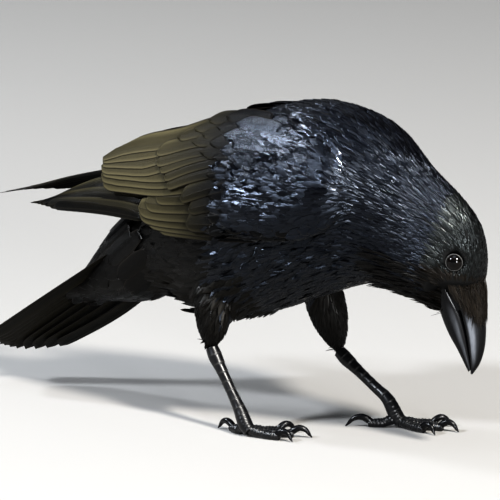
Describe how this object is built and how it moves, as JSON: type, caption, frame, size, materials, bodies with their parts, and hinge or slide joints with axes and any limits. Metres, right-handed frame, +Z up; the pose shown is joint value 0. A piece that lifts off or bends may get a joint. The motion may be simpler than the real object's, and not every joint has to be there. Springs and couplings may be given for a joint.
{
  "type": "carrion crow",
  "caption": "A glossy black crow at life size, standing with its head bent down and its bill towards the ground, wings folded and tail drooping.",
  "frame": {"origin": "middle of the bounding box on the floor the bird stands on", "axes": "+X forwards, the way the body points; +Y to the bird's left; +Z up"},
  "size_m": [0.3918, 0.1274, 0.2209],
  "materials": {
    "plumage": "glossy black contour feathers with a faint blue and violet sheen",
    "quills": "worn, brownish black flight and tail feathers",
    "horn": "smooth black bill horn",
    "claws": "smooth black claw horn",
    "scutes": "black plated leg skin, greyer at the plate edges",
    "eyes": "wet, very dark brown"
  },
  "bodies": {
    "root": {"trunk": "plumage", "neck": "plumage", "head": "plumage", "bill_upper": "horn", "bill_lower": "horn", "eye_right": "eyes", "eye_left": "eyes", "tail": "quills", "wing_coverts_right": "plumage", "secondaries_right": "quills", "primaries_right": "quills", "thigh_right": "plumage", "tarsus_right": "scutes", "toe_hind_right": "scutes", "claw_hind_right": "claws", "toe_inner_right": "scutes", "claw_inner_right": "claws", "toe_middle_right": "scutes", "claw_middle_right": "claws", "toe_outer_right": "scutes", "claw_outer_right": "claws", "wing_coverts_left": "plumage", "secondaries_left": "quills", "primaries_left": "quills", "thigh_left": "plumage", "tarsus_left": "scutes", "toe_hind_left": "scutes", "claw_hind_left": "claws", "toe_inner_left": "scutes", "claw_inner_left": "claws", "toe_middle_left": "scutes", "claw_middle_left": "claws", "toe_outer_left": "scutes", "claw_outer_left": "claws"}
  },
  "joints": []
}
